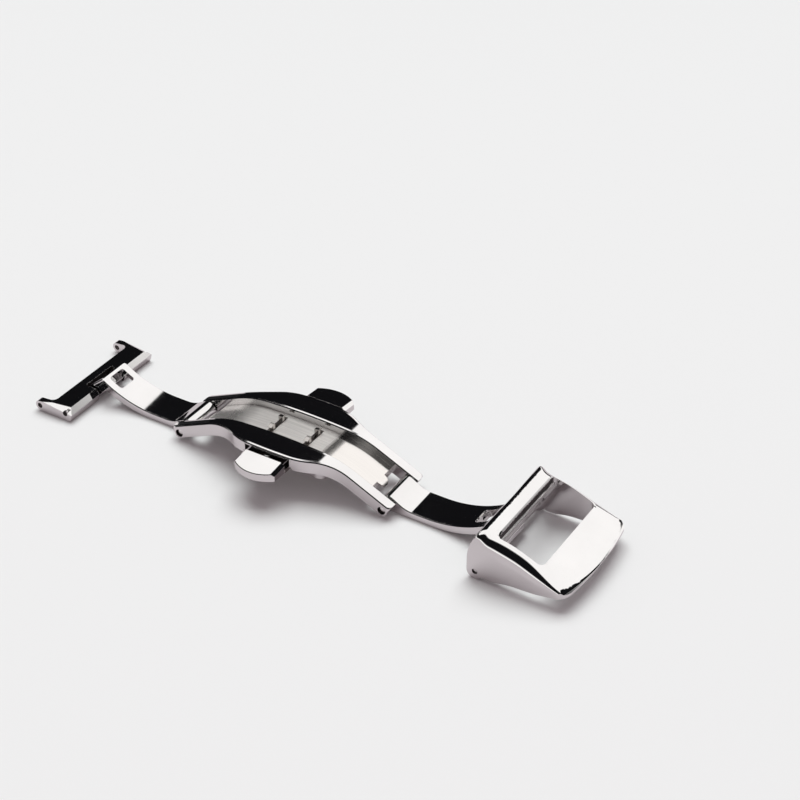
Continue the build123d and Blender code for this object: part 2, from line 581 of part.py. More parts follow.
def right_blade():
    """Blade with a barrel, a concave sweep, a latch window with a pocket under it and a knuckle."""
    blade = across(blade_face(), BLADE_WIDTH)
    end_x = FRAME_PIN_X + BLADE_END_REACH
    corners = blade.edges().filter_by(lambda e: e.length < BLADE_WIDTH and abs(e.center().Y) > 0
                                      and e.bounding_box().min.X > end_x - SEAT_GAP)
    blade = fillet(corners.sort_by(Axis.Z)[-2:], BLADE_END_CORNER)
    blade = chamfer(rim_edges(blade), BLADE_EDGE_BEVEL)
    tilt = 180 - CLOSE_ANGLE
    place = Pos(FRAME_PIN_X + WINDOW_MIDDLE, 0, PIN_HEIGHT + blade_top(WINDOW_MIDDLE)) * Rot(0, -tilt, 0)
    window = RectangleRounded(WINDOW_LENGTH, WINDOW_WIDTH, WINDOW_CORNER)
    pocket = RectangleRounded(WINDOW_LENGTH, WINDOW_POCKET_WIDTH, WINDOW_CORNER)
    blade -= place * extrude(window, amount=PIN_HEIGHT + LIP_THICKNESS, both=True)
    blade -= place * Pos(0, 0, -LIP_THICKNESS) * extrude(pocket, amount=-PIN_HEIGHT)
    blade -= cross_rod(FRAME_PIN_X, PIN_HEIGHT, FRAME_PIN_RADIUS + RUN_GAP, -BLADE_WIDTH, BLADE_WIDTH)
    return blade


def outer_bore(x, radius):
    return cross_rod(x, PIN_HEIGHT, radius + RUN_GAP, -BLADE_WIDTH, BLADE_WIDTH)


def strap_end_bar():
    """Cross bar at the left end, with a notch for the blade and two ears for the strap's bar."""
    x0 = -OUTER_PIN_X
    inner, outer = x0 + BAR_INNER_REACH, x0 - BAR_OUTER_REACH
    ear_x, ear_z = x0 - EAR_REACH, PIN_HEIGHT - EAR_AXIS_DROP
    corners = [(inner - BAR_BEVEL, BAR_HEIGHT), (inner, BAR_HEIGHT - BAR_BEVEL),
               (inner - BAR_FOOT_SET / 2, BAR_FOOT_HEIGHT), (inner - BAR_FOOT_SET, 0), (outer, 0),
               (ear_x, ear_z - EAR_TIP_RADIUS), (ear_x, ear_z + EAR_TIP_RADIUS), (outer, BAR_HEIGHT)]
    face = side([Line(a, b) for a, b in zip(corners, corners[1:] + corners[:1])])
    face += Plane.XZ * (Pos(ear_x, ear_z) * Circle(EAR_TIP_RADIUS))
    bar = across(face, STRAP_WIDTH)
    gap = Pos(outer - OVERRUN, 0) * Rectangle(2 * OVERRUN, STRAP_WIDTH - 2 * EAR_WIDTH)
    gap = fillet(gap.vertices().sort_by(Axis.X)[-2:], EAR_FILLET)
    bar -= extrude(gap, amount=BAR_HEIGHT + OVERRUN)
    notch = Pos(x0 - NOTCH_REACH + OVERRUN, 0) * Rectangle(2 * OVERRUN, NOTCH_WIDTH)
    notch = fillet(notch.vertices().sort_by(Axis.X)[:2], NOTCH_CORNER)
    bar -= extrude(notch, amount=BAR_HEIGHT + OVERRUN)
    cutter = end_bevel_cutter(inner, ear_x - EAR_TIP_RADIUS)
    bar -= cutter + rear_of(cutter)
    bar -= cross_rod(x0, PIN_HEIGHT, STRAP_PIN_RADIUS + RUN_GAP, -STRAP_WIDTH, STRAP_WIDTH)
    bar -= cross_rod(ear_x, ear_z, EAR_HOLE_RADIUS, -STRAP_WIDTH, STRAP_WIDTH)
    groove = (Pos(x0, -STRAP_WIDTH / 2, PIN_HEIGHT) * Rot(0, GROOVE_ANGLE, 0)
              * block(-GROOVE_WIDTH / 2, GROOVE_WIDTH / 2, -GROOVE_DEPTH, GROOVE_DEPTH, 0, OVERRUN))
    return bar - groove - rear_of(groove)


def end_bevel_cutter(inner, tip):
    """Wedge that slants the top of the front end, widest at the inner edge and nothing at the ear."""
    y_out = -STRAP_WIDTH / 2
    corner = Vector(inner, y_out, BAR_HEIGHT - END_BEVEL_HEIGHT)
    top = Vector(inner, y_out + END_BEVEL_WIDTH, BAR_HEIGHT)
    ear = Vector(tip, y_out, BAR_HEIGHT)
    normal = (top - corner).cross(ear - corner).normalized()
    if normal.Z < 0:
        normal = normal * -1
    plane = Plane(origin=corner, z_dir=normal)
    return plane * Pos(0, 0, OVERRUN) * Box(4 * STRAP_WIDTH, 4 * STRAP_WIDTH, 2 * OVERRUN)


def strap_end_pin():
    """Hinge pin that carries the strap end bar on the left blade."""
    end = STRAP_WIDTH / 2 - GROOVE_DEPTH / 2
    return cross_rod(-OUTER_PIN_X, PIN_HEIGHT, STRAP_PIN_RADIUS, -end, end)


def buckle_point(share):
    return (OUTER_PIN_X + share[0] * BUCKLE_REACH, share[1] * BUCKLE_HEIGHT)


def buckle_side():
    """Side face of the buckle's solid outline, with the round lobe at the hinge."""
    top = [buckle_point(share) for share in BUCKLE_TOP_SHARES]
    under = [buckle_point(share) for share in BUCKLE_UNDER_SHARES]
    back = [buckle_point(share) for share in BUCKLE_BACK_SHARES]
    lobe_x = BUCKLE_LOBE_END_SHARE * BUCKLE_REACH
    lobe_end = (OUTER_PIN_X + lobe_x, PIN_HEIGHT - sqrt(BUCKLE_LOBE_RADIUS**2 - lobe_x**2))
    lobe_low = (OUTER_PIN_X, PIN_HEIGHT - BUCKLE_LOBE_RADIUS)
    lobe_back = (OUTER_PIN_X - BUCKLE_LOBE_RADIUS, PIN_HEIGHT)
    nose = ThreePointArc(top[-1], (NOSE_X, (top[-1][1] + under[0][1]) / 2), under[0])
    lobe = ThreePointArc(lobe_end, lobe_low, lobe_back)
    return side([Spline(*top), nose, Spline(*under, lobe_end), lobe,
                 Spline(lobe_back, *back, tangents=[(0, 1), (1, 2)]), Line(back[-1], top[0])])


def buckle_plan():
    """Plan of the buckle: a bowed nose with round corners."""
    half, shoulder = BUCKLE_HALF_WIDTH, NOSE_X - BUCKLE_BOW
    back = OUTER_PIN_X - BUCKLE_LOBE_RADIUS
    plan = make_face([
        ThreePointArc((shoulder, -half), (NOSE_X, 0), (shoulder, half)),
        Line((shoulder, half), (back, half)), Line((back, half), (back, -half)),
        Line((back, -half), (shoulder, -half))])
    corners = plan.vertices().sort_by(Axis.X)[-2:]
    return fillet(corners, BUCKLE_CORNER)


def height_on(line, x):
    """Height of a rising or falling line at x, or that of its nearer end."""
    low, high = 0.0, 1.0
    for _ in range(HALVINGS):
        half = middle(low, high)
        low, high = (half, high) if (line @ half).X < x else (low, half)
    return (line @ low).Y


def buckle_rounding():
    """Body with rounded upper edges that follows the buckle's top line, a little above it."""
    half, sections = BUCKLE_HALF_WIDTH, []
    top_line = Spline(*[buckle_point(share) for share in BUCKLE_TOP_SHARES])
    for reach_share, radius_share in BUCKLE_ROUND_SHARES:
        x = OUTER_PIN_X + reach_share * BUCKLE_REACH
        top = height_on(top_line, x) + BUCKLE_ROUND_LIFT
        radius = BUCKLE_ROUND_RADIUS * radius_share
        slant = radius * (1 - sqrt(0.5))
        right = ThreePointArc((half, top - radius), (half - slant, top - slant), (half - radius, top))
        left = ThreePointArc((radius - half, top), (slant - half, top - slant), (-half, top - radius))
        low_right, low_left = (half, -OVERRUN), (-half, -OVERRUN)
        outline = make_face([right, Line((half - radius, top), (radius - half, top)), left,
                             Line((-half, top - radius), low_left), Line(low_left, low_right),
                             Line(low_right, (half, top - radius))])
        sections.append(Plane(origin=(x, 0, 0), x_dir=(0, 1, 0), z_dir=(1, 0, 0)) * outline)
    return loft(sections, ruled=True)


def buckle_nose_bevel():
    """Cutter for the bevel of the nose: a ring around a wide cone, deepest at the corners."""
    bow = BUCKLE_NOSE_BEVEL_BOW
    radius = (BUCKLE_HALF_WIDTH**2 + bow**2) / (2 * bow)
    low = buckle_point(BUCKLE_TOP_SHARES[-1])[1] - BUCKLE_NOSE_BEVEL
    height = BUCKLE_HEIGHT - low
    ring = Cylinder(radius + OVERRUN, height) - Cone(radius, radius - height, height)
    return Pos(NOSE_X - radius, 0, low + height / 2) * ring


def buckle_frame():
    """Bent shell: side walls with a hinge lobe, a top plate with the strap window and a nose."""
    shell = across(buckle_side(), 2 * BUCKLE_HALF_WIDTH) & extrude(buckle_plan(), BUCKLE_HEIGHT)
    shell = (shell & buckle_rounding()) - buckle_nose_bevel()
    top = [buckle_point(share) for share in BUCKLE_TOP_SHARES]
    cavity_half = BUCKLE_HALF_WIDTH - BUCKLE_WALL
    lowered = [(x, z - BUCKLE_PLATE) for x, z in top[:-1]]
    far = (lowered[-1][0], -BUCKLE_PLATE)
    near = (OUTER_PIN_X - BUCKLE_REACH, -BUCKLE_PLATE)
    cavity = side([Spline(*lowered), Line(lowered[-1], far), Line(far, near),
                   Line(near, (near[0], lowered[0][1])), Line((near[0], lowered[0][1]), lowered[0])])
    shell -= across(cavity, 2 * cavity_half)
    bar_end = OUTER_PIN_X - BUCKLE_BAR_SET
    bar_left = ThreePointArc((bar_end, cavity_half), (bar_end + BUCKLE_BAR_BOW, 0),
                             (bar_end, -cavity_half))
    behind = bar_end - OVERRUN
    trim = make_face([bar_left, Line((bar_end, -cavity_half), (behind, -cavity_half)),
                      Line((behind, -cavity_half), (behind, cavity_half)),
                      Line((behind, cavity_half), (bar_end, cavity_half))])
    shell -= extrude(trim, amount=BUCKLE_HEIGHT + OVERRUN)
    window_x = bar_end + BUCKLE_BAR_WIDTH + BUCKLE_WINDOW_LENGTH / 2
    window_width = 2 * (BUCKLE_HALF_WIDTH - BUCKLE_WINDOW_SIDE)
    window = Pos(window_x, 0) * Rectangle(BUCKLE_WINDOW_LENGTH, window_width)
    window = fillet(window.vertices().sort_by(Axis.X)[-2:], BUCKLE_WINDOW_CORNER)
    window = fillet(window.vertices().sort_by(Axis.X)[:2], BUCKLE_WINDOW_BAR_CORNER)
    shell -= extrude(window, amount=BUCKLE_HEIGHT + OVERRUN)
    shell -= cross_rod(OUTER_PIN_X, PIN_HEIGHT, BUCKLE_HOLE_RADIUS, -STRAP_WIDTH, STRAP_WIDTH)
    blind = cavity_half + STRAP_BAR_HOLE_DEPTH
    shell -= cross_rod(OUTER_PIN_X + STRAP_BAR_FROM_PIN, STRAP_BAR_HEIGHT, BUCKLE_HOLE_RADIUS,
                       -blind, blind)
    return shell


def bar_spring(x, z, bore, y_min, y_max, turns):
    """Spring inside a spring bar, between two pieces of it."""
    length = y_max - y_min - 2 * SEAT_GAP
    spring = coil(bore - 2 * BAR_SPRING_WIRE_RADIUS, BAR_SPRING_WIRE_RADIUS, turns, length)
    return Pos(x, y_max - SEAT_GAP, z) * Rot(90, 0, 0) * spring


def hinge_bar():
    """Tube, front tip and spring of the bar that hinges the buckle on the right blade."""
    x, z = OUTER_PIN_X, PIN_HEIGHT
    bore = HINGE_BAR_RADIUS - BAR_WALL
    flange_out = BUCKLE_HALF_WIDTH - BUCKLE_WALL - SEAT_GAP
    flange_in = flange_out - BAR_FLANGE_LENGTH
    tube_end = flange_in - BAR_TIP_TRAVEL - SEAT_GAP
    stem_end = tube_end - BAR_TIP_STEM
    tube = cross_rod(x, z, HINGE_BAR_RADIUS, -tube_end, tube_end)
    tube -= cross_rod(x, z, bore, -STRAP_WIDTH, STRAP_WIDTH)
    tip = cross_rod(x, z, bore - RUN_GAP, -flange_out, -stem_end)
    tip += cross_rod(x, z, BAR_FLANGE_RADIUS, -flange_out, -flange_in)
    tip += cross_rod(x, z, BAR_TIP_RADIUS, PIN_END_SET - BUCKLE_HALF_WIDTH, -flange_out)
    return tube, tip, bar_spring(x, z, bore, -stem_end, stem_end, HINGE_SPRING_TURNS)


def strap_bar():
    """Tube, rod and spring of the telescopic bar that holds the strap under the buckle's cross bar."""
    x, z = OUTER_PIN_X + STRAP_BAR_FROM_PIN, STRAP_BAR_HEIGHT
    bore = STRAP_BAR_TUBE_RADIUS - BAR_WALL
    shoulder = BUCKLE_HALF_WIDTH - BUCKLE_WALL - SEAT_GAP
    tip_end = BUCKLE_HALF_WIDTH - BUCKLE_WALL + STRAP_BAR_HOLE_DEPTH - SEAT_GAP
    floor = STRAP_BAR_END_WALL - shoulder
    tube = cross_rod(x, z, STRAP_BAR_TUBE_RADIUS, -shoulder, 0) - cross_rod(x, z, bore, floor, OVERRUN)
    tube += cross_rod(x, z, BAR_TIP_RADIUS, -tip_end, -shoulder)
    rod = cross_rod(x, z, bore - STRAP_BAR_ROD_GAP, -STRAP_BAR_OVERLAP, shoulder)
    rod += cross_rod(x, z, BAR_TIP_RADIUS, shoulder, tip_end)
    return tube, rod, bar_spring(x, z, bore, floor, -STRAP_BAR_OVERLAP, STRAP_SPRING_TURNS)


def write(name, piece):
    moved = piece if isinstance(piece, list) else [piece]
    moved = [Pos(-MIDDLE_X, 0, 0) * solid for solid in moved]
    export_step(Compound(children=moved) if len(moved) > 1 else moved[0], f"parts/{name}.step")


def main():
    os.makedirs("parts", exist_ok=True)
    write("centre_frame", centre_frame())
    write("deck_plate", deck_plate())
    write("base_cover", base_cover())
    write("cover_rivets", cover_rivets())
    write("front_button", button_cap())
    write("rear_button", rear_of(button_cap()))
    write("front_hook_slide", hook_slide())
    write("rear_hook_slide", rear_of(hook_slide()))
    write("front_link_pin", link_pin())
    write("rear_link_pin", rear_of(link_pin()))
    write("front_return_spring", return_spring())
    write("rear_return_spring", rear_of(return_spring()))
    write("right_frame_pin", frame_pin())
    write("left_frame_pin", left_of(frame_pin()))
    blade = right_blade()
    write("right_blade", blade - outer_bore(OUTER_PIN_X, HINGE_BAR_RADIUS))
    write("left_blade", left_of(blade) - outer_bore(-OUTER_PIN_X, STRAP_PIN_RADIUS))
    write("strap_end_bar", strap_end_bar())
    write("strap_end_pin", strap_end_pin())
    write("buckle_frame", buckle_frame())
    tube, tip, spring = hinge_bar()
    write("hinge_bar_tube", tube)
    write("hinge_bar_front_tip", tip)
    write("hinge_bar_rear_tip", rear_of(tip))
    write("hinge_bar_spring", spring)
    tube, rod, spring = strap_bar()
    write("strap_bar_tube", tube)
    write("strap_bar_rod", rod)
    write("strap_bar_spring", spring)


main()
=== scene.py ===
import math

import bmesh
import bpy
import numpy as np
from mathutils import Matrix, Vector


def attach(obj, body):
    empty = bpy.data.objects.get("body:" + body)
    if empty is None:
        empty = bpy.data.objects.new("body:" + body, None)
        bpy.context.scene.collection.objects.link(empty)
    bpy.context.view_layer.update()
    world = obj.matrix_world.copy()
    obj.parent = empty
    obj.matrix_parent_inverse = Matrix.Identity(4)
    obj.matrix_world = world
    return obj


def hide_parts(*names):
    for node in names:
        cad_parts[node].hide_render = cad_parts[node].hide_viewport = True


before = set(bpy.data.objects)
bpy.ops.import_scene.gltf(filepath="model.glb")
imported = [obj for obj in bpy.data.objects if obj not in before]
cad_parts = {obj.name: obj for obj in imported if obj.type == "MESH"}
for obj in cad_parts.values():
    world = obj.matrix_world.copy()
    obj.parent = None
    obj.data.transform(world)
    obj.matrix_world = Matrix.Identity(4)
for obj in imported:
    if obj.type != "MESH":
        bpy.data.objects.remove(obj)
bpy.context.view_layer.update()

# Viewpoint: the clasp lies on a pale table and is seen from the front right, from 28 cm away and
# through a long lens. The angles turn the lens round the middle of the arched frame, and the slide
# moves it across its own view.
frame_middle = -0.004455
view_turn, view_rise, view_roll = math.radians(31.846), math.radians(35.186), math.radians(-0.227)
view_distance, view_slide = 0.28207, (0.015522, 0.009135)
lens_length, nearest_seen = 84.86, 0.01

back = Vector((math.sin(view_turn) * math.cos(view_rise), -math.cos(view_turn) * math.cos(view_rise),
               math.sin(view_rise)))
level = Vector((math.cos(view_turn), math.sin(view_turn), 0.0))
upright = back.cross(level)
right = math.cos(view_roll) * level + math.sin(view_roll) * upright
upward = -math.sin(view_roll) * level + math.cos(view_roll) * upright
lens = bpy.data.objects.new("lens", bpy.data.cameras.new("lens"))
lens.data.lens = lens_length
lens.data.clip_start = nearest_seen
bpy.context.scene.collection.objects.link(lens)
lens.matrix_world = Matrix((right, upward, back)).transposed().to_4x4()
lens.location = (Vector((frame_middle, 0.0, 0.0)) + view_slide[0] * right + view_slide[1] * upward
                 + view_distance * back)
bpy.context.scene.camera = lens

# Table: a matt, pale grey sheet, large enough to fill the view. It is drawn as one square, a little
# paler away from the lamp, so that it looks even. For reflections only it is painted warmer and darker,
# and painted black behind the clasp on the left, outside the view: a painted reflection of a dark card.
table_size, table_drop, table_roughness, table_gloss = 4.0, 0.00003, 0.9, 0.1
lamp_foot = (-0.25, 0.45, 0.0)
near_reach, near_grey = 0.30, (0.752, 0.752, 0.752, 1.0)
far_reach, far_grey = 0.62, (0.896, 0.896, 0.896, 1.0)
# Painted reflection: the sheet's colour as the steel mirrors it, and the black of the painted card.
painted_table_reflection = (0.60, 0.555, 0.575, 1.0)
painted_card_reflection_dark = (0.006, 0.006, 0.007, 1.0)
painted_card_turn, painted_card_start, painted_card_fade = math.radians(-52), 0.055, 0.006


class Web:
    """Short ways to add and join the nodes of a material, or of the room's light. A value is what a
    node gives out, or a plain number or colour."""

    def __init__(self, tree):
        self.tree = tree

    def add(self, kind, **settings):
        node = self.tree.nodes.new(kind)
        for name, setting in settings.items():
            setattr(node, name, setting)
        return node

    def feed(self, socket, value):
        """Links the value to the socket if a node gives it out, and otherwise sets it there."""
        if isinstance(value, bpy.types.NodeSocket):
            self.tree.links.new(value, socket)
        else:
            socket.default_value = value

    def work_out(self, operation, a, b=0.0):
        """Result of one step of sums on one or two values."""
        node = self.add("ShaderNodeMath", operation=operation)
        self.feed(node.inputs[0], a)
        self.feed(node.inputs[1], b)
        return node.outputs[0]

    def measure(self, operation, a, b):
        """Number that a step of sums gives for two places or directions."""
        node = self.add("ShaderNodeVectorMath", operation=operation)
        self.feed(node.inputs[0], a)
        self.feed(node.inputs[1], b)
        return node.outputs["Value"]

    def span(self, value, low, high, start=0.3, end=0.7, way="LINEAR"):
        """The value's range from start to end, spread from low to high."""
        node = self.add("ShaderNodeMapRange", interpolation_type=way)
        self.feed(node.inputs["Value"], value)
        for key, number in (("From Min", start), ("From Max", end), ("To Min", low), ("To Max", high)):
            node.inputs[key].default_value = number
        return node.outputs["Result"]

    def mixed(self, share, a, b):
        """Colour that goes from a to b as the share goes from 0 to 1."""
        node = self.add("ShaderNodeMix", data_type="RGBA")
        for key, value in (("Factor", share), ("A", a), ("B", b)):
            self.feed(node.inputs[key], value)
        return node.outputs["Result"]

    def split(self, place):
        """The three coordinates of a place or direction."""
        node = self.add("ShaderNodeSeparateXYZ")
        self.feed(node.inputs[0], place)
        return node.outputs


corners = np.array([[-1, -1], [1, -1], [1, 1], [-1, 1]]) * table_size / 2
sheet = bpy.data.meshes.new("table_sheet")
sheet.from_pydata(np.column_stack([corners, np.full(4, -table_drop)]).tolist(), [], [(0, 1, 2, 3)])
table = bpy.data.objects.new("table_sheet", sheet)
bpy.context.scene.collection.objects.link(table)
paper = bpy.data.materials.new("matt_paper")
paper.use_nodes = True
matt = paper.node_tree.nodes["Principled BSDF"]
matt.inputs["Roughness"].default_value = table_roughness
matt.inputs["Specular IOR Level"].default_value = table_gloss
web = Web(paper.node_tree)
on_table = web.add("ShaderNodeTexCoord").outputs["Object"]
from_lamp = web.measure("DISTANCE", on_table, lamp_foot)
sheet_tone = web.mixed(web.span(from_lamp, 0.0, 1.0, near_reach, far_reach), near_grey, far_grey)
# Painted reflection: only glossy rays see the black card painted on the sheet, and the darker tint.
past_painted_card = web.measure("DOT_PRODUCT", on_table, (math.sin(painted_card_turn), math.cos(painted_card_turn), 0.0))
painted_card_share = web.span(past_painted_card, 0.0, 1.0, painted_card_start, painted_card_start + painted_card_fade)
painted_reflection_tone = web.mixed(painted_card_share, painted_table_reflection, painted_card_reflection_dark)
in_mirror = web.add("ShaderNodeLightPath").outputs["Is Glossy Ray"]
web.feed(matt.inputs["Base Color"], web.mixed(in_mirror, sheet_tone, painted_reflection_tone))
table.data.materials.append(paper)

# Light: an even pale room and one large soft lamp over the table. Polished steel shows what
# stands around it, so for reflections only the room has dark flags: one behind on the left, one
# around the lens, one on the right, a narrow one overhead and a low one along the horizon behind.
room_shade = (0.330, 0.290, 0.302, 1.0)
room_glow = (1.12, 1.105, 1.095, 1.0)
flag_dark = (0.006, 0.006, 0.007, 1.0)
flag_slant = math.radians(24.5)
lamp_size, lamp_height, lamp_power = (1.1, 0.9), 1.05, 13.2
lamp_tint = (0.985, 1.037, 1.023)

room = bpy.data.worlds.new("studio")
bpy.context.scene.world = room
room.use_nodes = True
room.node_tree.nodes.clear()
web = Web(room.node_tree)


def flag(*edges):
    """How far a direction lies inside a flag: the product of smooth steps, one for each edge. An
    edge is one coordinate of the direction, where the flag starts and where it is full."""
    inside = 1.0
    for coordinate, start, full in edges:
        inside = web.work_out("MULTIPLY", inside, web.span(coordinate, 0.0, 1.0, start, full, "SMOOTHSTEP"))
    return inside


east, north, high = web.split(web.add("ShaderNodeTexCoord").outputs["Generated"])
beside = web.work_out("ADD", web.work_out("MULTIPLY", east, math.cos(flag_slant)),
                      web.work_out("MULTIPLY", north, math.sin(flag_slant)))
left_flag = flag((beside, 0.012, -0.012), (north, -0.10, 0.0), (high, 0.700, 0.684))
front_flag = flag((north, 0.02, -0.10), (high, 0.10, 0.20), (high, 0.80, 0.74))
right_flag = flag((east, 0.52, 0.62), (high, 0.20, 0.32))
overhead_flag = flag((east, -0.36, -0.30), (east, -0.16, -0.22), (high, 0.80, 0.86))
horizon_flag = flag((north, 0.0, 0.2), (high, 0.22, 0.10))
flags = 0.0
for shade in (left_flag, front_flag, right_flag, overhead_flag, horizon_flag):
    flags = web.work_out("MAXIMUM", flags, shade)
mirrored = web.add("ShaderNodeBackground")
web.feed(mirrored.inputs["Color"], web.mixed(flags, room_glow, flag_dark))
plain = web.add("ShaderNodeBackground")
web.feed(plain.inputs["Color"], room_shade)
choose = web.add("ShaderNodeMixShader")
web.feed(choose.inputs[0], web.add("ShaderNodeLightPath").outputs["Is Glossy Ray"])
web.feed(choose.inputs[1], plain.outputs[0])
web.feed(choose.inputs[2], mirrored.outputs[0])
web.feed(web.add("ShaderNodeOutputWorld").inputs[0], choose.outputs[0])

lamp = bpy.data.objects.new("soft_lamp", bpy.data.lights.new("soft_lamp", "AREA"))
lamp.data.shape = "RECTANGLE"
lamp.data.size, lamp.data.size_y = lamp_size
lamp.data.energy = lamp_power
lamp.data.color = lamp_tint
lamp.location = (lamp_foot[0], lamp_foot[1], lamp_height)
lamp.rotation_euler = (-lamp.location).to_track_quat("-Z", "Y").to_euler()
lamp.visible_glossy = False
bpy.context.scene.collection.objects.link(lamp)

# Arched frame: investment-cast stainless steel, ground to its arch and buffed to a mirror. The
# copy of the cast body has its triangles merged, so that the buffed faces reflect as one. Its
# bores and the two recesses in its sides stay dull as the tool leaves them, and are painted nearly
# black as painted shade.
crease, merge_reach, speck, halvings = math.radians(30), 0.0000002, 0.00000001, 6
flat_weight, bore_wall, wall_lean = 80, 1.02, 0.5
buffed_steel, buffed_haze, haze_range, worn_edge = (0.86, 0.85, 0.845, 1.0), 0.045, (0.7, 1.6), 0.00004
peel_pattern, peel_depth = (260, 2.0), 0.0000022
hair_pattern, hair_depth, fine_hair_depth = (1500, 4.0, (0.15, 1.0, 1.0)), 0.0000004, 0.00000015
stain_pattern, stain_share = (120, 4.0), 0.93
# Cut steel: dull as cut, and nearly black as painted shade in bores and hollows.
cut_steel_painted_dark, cut_roughness = (0.10, 0.085, 0.085, 1.0), 0.5
ring_pattern, ring_depth = (9000, 2.0, (0.1, 1.0, 0.1)), 0.000006
smear_pattern, smear_share = (900, 3.0), 0.6
channel_half_width, rail_half_width = 0.00305, 0.00485
rail_turns, rail_slopes = (0, 0.0034, 0.0070, 0.0125), (0, 4, 28, 0)
outer_lip, inner_lip, lip_lean = 0.00046, 0.00044, 0.13
frame_pin_reach, pin_height, head_seat = 0.01806966, 0.0013, 0.00066
recess_reach, recess_height, recess_half = 0.00635, 0.0032, np.array([0.00393, 0.0010, 0.00320])


def unit(vectors):
    """Vectors brought to length one. One without a length stays as it is."""
    shortest = 1e-30
    return vectors / np.maximum(np.linalg.norm(vectors, axis=1, keepdims=True), shortest)


def read(items, key, width=3, kind=float):
    """What a mesh says of each of its faces, corners or points, one row for each."""
    values = np.empty((len(items), width), kind)
    items.foreach_get(key, values.ravel())
    return values


def evened(mesh, rounds=5):
    """Normals that buffing leaves at each corner of a mesh of small triangles. In each round every
    face takes the mean of its own normal and those across its edges that turn less than the
    crease, weighted by area; then each corner takes the mean of the faces round its point that
    turn less than the crease from its own."""
    corners = read(mesh.loops, "vertex_index", 1, np.int64).ravel()
    facing, area, sharp = read(mesh.polygons, "normal"), read(mesh.polygons, "area", 1), math.cos(crease)
    ends = np.sort(np.stack([corners, np.roll(corners.reshape(-1, 3), -1, axis=1).ravel()]), axis=0)
    key = ends[0] * len(mesh.vertices) + ends[1]
    order = np.argsort(key, kind="stable")
    twin = np.flatnonzero(key[order][1:] == key[order][:-1])
    one, other = order[twin] // 3, order[twin + 1] // 3
    soft = (facing[one] * facing[other]).sum(axis=1) > sharp
    one, other, mean = one[soft], other[soft], facing.copy()
    for _ in range(rounds):
        heavy = mean * area
        total = heavy.copy()
        np.add.at(total, one, heavy[other])
        np.add.at(total, other, heavy[one])
        mean = unit(total)
    by_point = np.argsort(corners, kind="stable")
    point, face = corners[by_point], by_point // 3
    heavy = mean * area
    total = heavy[face]
    for step in range(1, int(np.bincount(point).max())):
        left, right = np.arange(len(point) - step), np.arange(step, len(point))
        near = (point[left] == point[right]) & ((mean[face[left]] * mean[face[right]]).sum(axis=1) > sharp)
        left, right = left[near], right[near]
        np.add.at(total, left, heavy[face[right]])
        np.add.at(total, right, heavy[face[left]])
    normals = np.empty_like(total)
    normals[by_point] = unit(total)
    return normals


def merged(source, name, grain):
    """Copy of a mesh with its doubled points merged. Faces that meet at more than the crease stay
    sharp. With a grain, edges longer than it are cut in half, a few times over."""
    work = bmesh.new()
    work.from_mesh(source)
    bmesh.ops.remove_doubles(work, verts=work.verts, dist=merge_reach)
    bmesh.ops.dissolve_degenerate(work, edges=work.edges, dist=speck)
    for _ in range(halvings if grain else 0):
        long_edges = [edge for edge in work.edges if edge.calc_length() > grain]
        bmesh.ops.subdivide_edges(work, edges=long_edges, cuts=1)
        bmesh.ops.triangulate(work, faces=work.faces, quad_method="SHORT_EDGE", ngon_method="BEAUTY")
    for face in work.faces:
        face.smooth = True
    for edge in work.edges:
        edge.smooth = len(edge.link_faces) == 2 and edge.calc_face_angle(0) < crease
    mesh = bpy.data.meshes.new(name)
    work.to_mesh(mesh)
    work.free()
    return mesh


def cut_faces(mesh, bores, hollows):
    """Whether each face is on the wall of a bore along Y or in a hollow."""
    centres, facing = read(mesh.polygons, "center"), read(mesh.polygons, "normal")
    cut = np.zeros(len(centres), bool)
    for x, z, radius in bores:
        near = np.hypot(centres[:, 0] - x, centres[:, 2] - z) < bore_wall * radius
        cut |= near & (abs(facing[:, 1]) < wall_lean)
    for low, far in hollows:
        cut |= ((centres > low) & (centres < far)).all(axis=1)
    return cut


def skin(node, name, body, material, slot, bores=(), hollows=(), grain=None, contour=None):
    """Finished copy of a CAD node's surface. Its faces share normals weighted by their area, so
    that flats stay flat and bends stay round, or by their angle on pins and springs, which are
    round all over. With a grain it is made of small triangles whose normals are evened instead,
    and the contour turns those of the faces that it covers to its own. The walls of bores, given
    as x, z and radius, and the faces in hollows, given as two corners, keep the tool's dull cut,
    painted nearly black as painted shade."""
    mesh = merged(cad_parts[node].data, name, grain)
    piece = bpy.data.objects.new(name, mesh)
    bpy.context.scene.collection.objects.link(piece)
    if grain:
        mesh.normals_split_custom_set(contour(mesh, evened(mesh)).tolist())
    else:
        normals = piece.modifiers.new("area_normals", "WEIGHTED_NORMAL")
        normals.keep_sharp = True
        normals.weight = flat_weight
        normals.mode = "CORNER_ANGLE" if slot in ("pin_steel", "spring_wire") else "FACE_AREA"
    mesh.materials.append(material)
    if bores or hollows:
        mesh.materials.append(cut_finish_and_shade)
        mesh.polygons.foreach_set("material_index", cut_faces(mesh, bores, hollows).astype(np.int32))
    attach(piece, body)
    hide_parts(node)


def darkened(colour, share):
    """Colour of which only a share is left."""
    return tuple(share * part for part in colour[:3]) + (1.0,)


